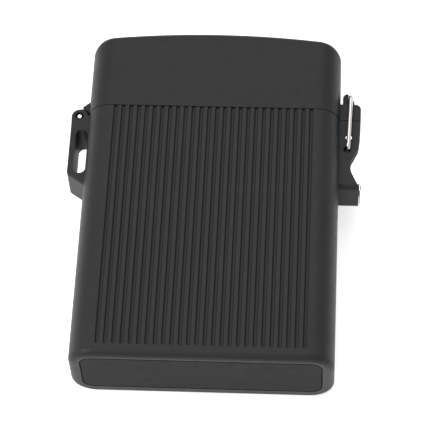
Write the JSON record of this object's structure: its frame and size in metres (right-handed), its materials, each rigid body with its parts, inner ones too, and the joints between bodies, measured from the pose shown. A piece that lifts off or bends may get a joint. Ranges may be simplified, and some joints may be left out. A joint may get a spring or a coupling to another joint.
{
  "type": "lighter",
  "caption": "Pocket petrol lighter with an airtight hinged lid, a wire bail latch, a ribbed matt black case and a lanyard slot.",
  "frame": {"origin": "centre of the flat back face that the lighter lies on, half way along its length", "axes": "+X towards the latch, +Y towards the lid, +Z out of the ribbed front face"},
  "size_m": [0.0563, 0.071, 0.0156],
  "materials": {
    "soft_coat": "matte soft-touch black",
    "plate_coat": "matte black",
    "catch_black": "gloss black",
    "bail_steel": "polished",
    "lever_steel": "satin",
    "pin_steel": "polished end",
    "insert_steel": "brushed",
    "wheel_steel": "hardened, filed teeth",
    "liner_steel": "satin",
    "brass": "turned",
    "spring_steel": "drawn wire",
    "flint_alloy": "dark ferrocerium",
    "seal_rubber": "matte",
    "wick_cotton": "braided cotton",
    "felt": "pressed felt",
    "wadding_cotton": "loose cotton"
  },
  "bodies": {
    "case": {"case_shell": "soft_coat", "bottom_plate": "plate_coat", "bottom_seal": "seal_rubber", "hinge_pin": "pin_steel", "lever_pin": "pin_steel", "insert_can": "insert_steel", "insert_floor": "insert_steel", "felt_pad": "felt", "wadding": "wadding_cotton", "neck_seal": "seal_rubber", "wick": "wick_cotton", "chimney": "insert_steel", "wheel_axle": "pin_steel", "flint_tube": "brass", "flint": "flint_alloy", "flint_plunger": "brass", "flint_spring": "spring_steel", "flint_screw": "brass"},
    "lid": {"lid_shell": "soft_coat", "lid_liner": "liner_steel", "lid_catch": "catch_black"},
    "lever": {"latch_lever": "lever_steel"},
    "bail": {"wire_bail": "bail_steel"},
    "wheel": {"striker_wheel": "wheel_steel"}
  },
  "joints": [
    {"name": "lid_hinge", "type": "hinge", "parent": "case", "child": "lid", "pos_m": [-0.02615, 0.01797, 0.0078], "axis": [0, 0, 1], "range_deg": [0, 110]},
    {"name": "latch_lever_pivot", "type": "hinge", "parent": "case", "child": "lever", "pos_m": [0.02596, 0.01415, 0.0078], "axis": [0, 0, 1], "range_deg": [0, 90]},
    {"name": "bail_pivot", "type": "hinge", "parent": "case", "child": "bail", "pos_m": [0.02588, 0.01165, 0.0078], "axis": [0, 0, 1], "range_deg": [-135, 0]},
    {"name": "wheel_spin", "type": "hinge", "parent": "case", "child": "wheel", "pos_m": [0.0092, 0.02585, 0.0078], "axis": [0, 0, 1], "continuous": true}
  ],
  "couplings": [
    {"joint": "bail_pivot", "follows": "latch_lever_pivot", "ratio": -1.5}
  ]
}
